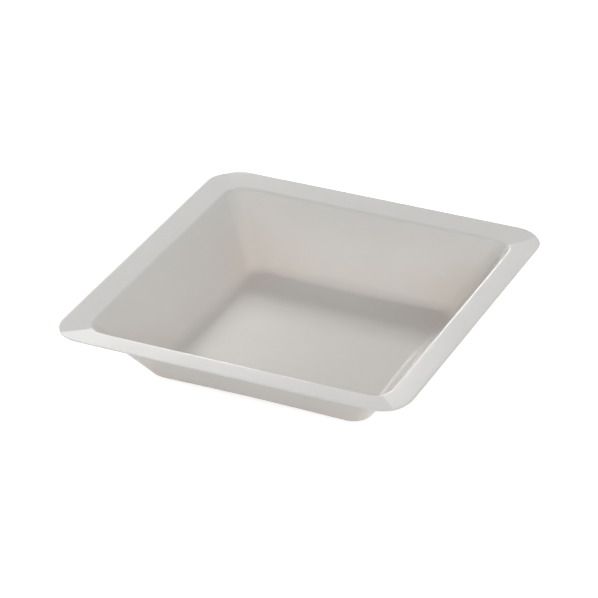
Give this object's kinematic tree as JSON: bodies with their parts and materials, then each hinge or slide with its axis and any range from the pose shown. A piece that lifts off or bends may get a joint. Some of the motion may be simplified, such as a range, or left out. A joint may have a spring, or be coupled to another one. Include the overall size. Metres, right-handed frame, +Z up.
{
  "type": "weighing boat",
  "caption": "Square shallow dish of thin formed plastic with a flat floor, leaning walls and a mitred rim, for weighing and pouring powders.",
  "frame": {"origin": "centre of the underside of the floor, on the surface the boat rests on", "axes": "+Z up, out of the open side; +X and +Y along the sides of the square"},
  "size_m": [0.14, 0.14, 0.0266],
  "materials": {
    "polystyrene": "smooth satin sheen, slightly translucent"
  },
  "bodies": {
    "root": {"boat": "polystyrene"}
  },
  "joints": []
}
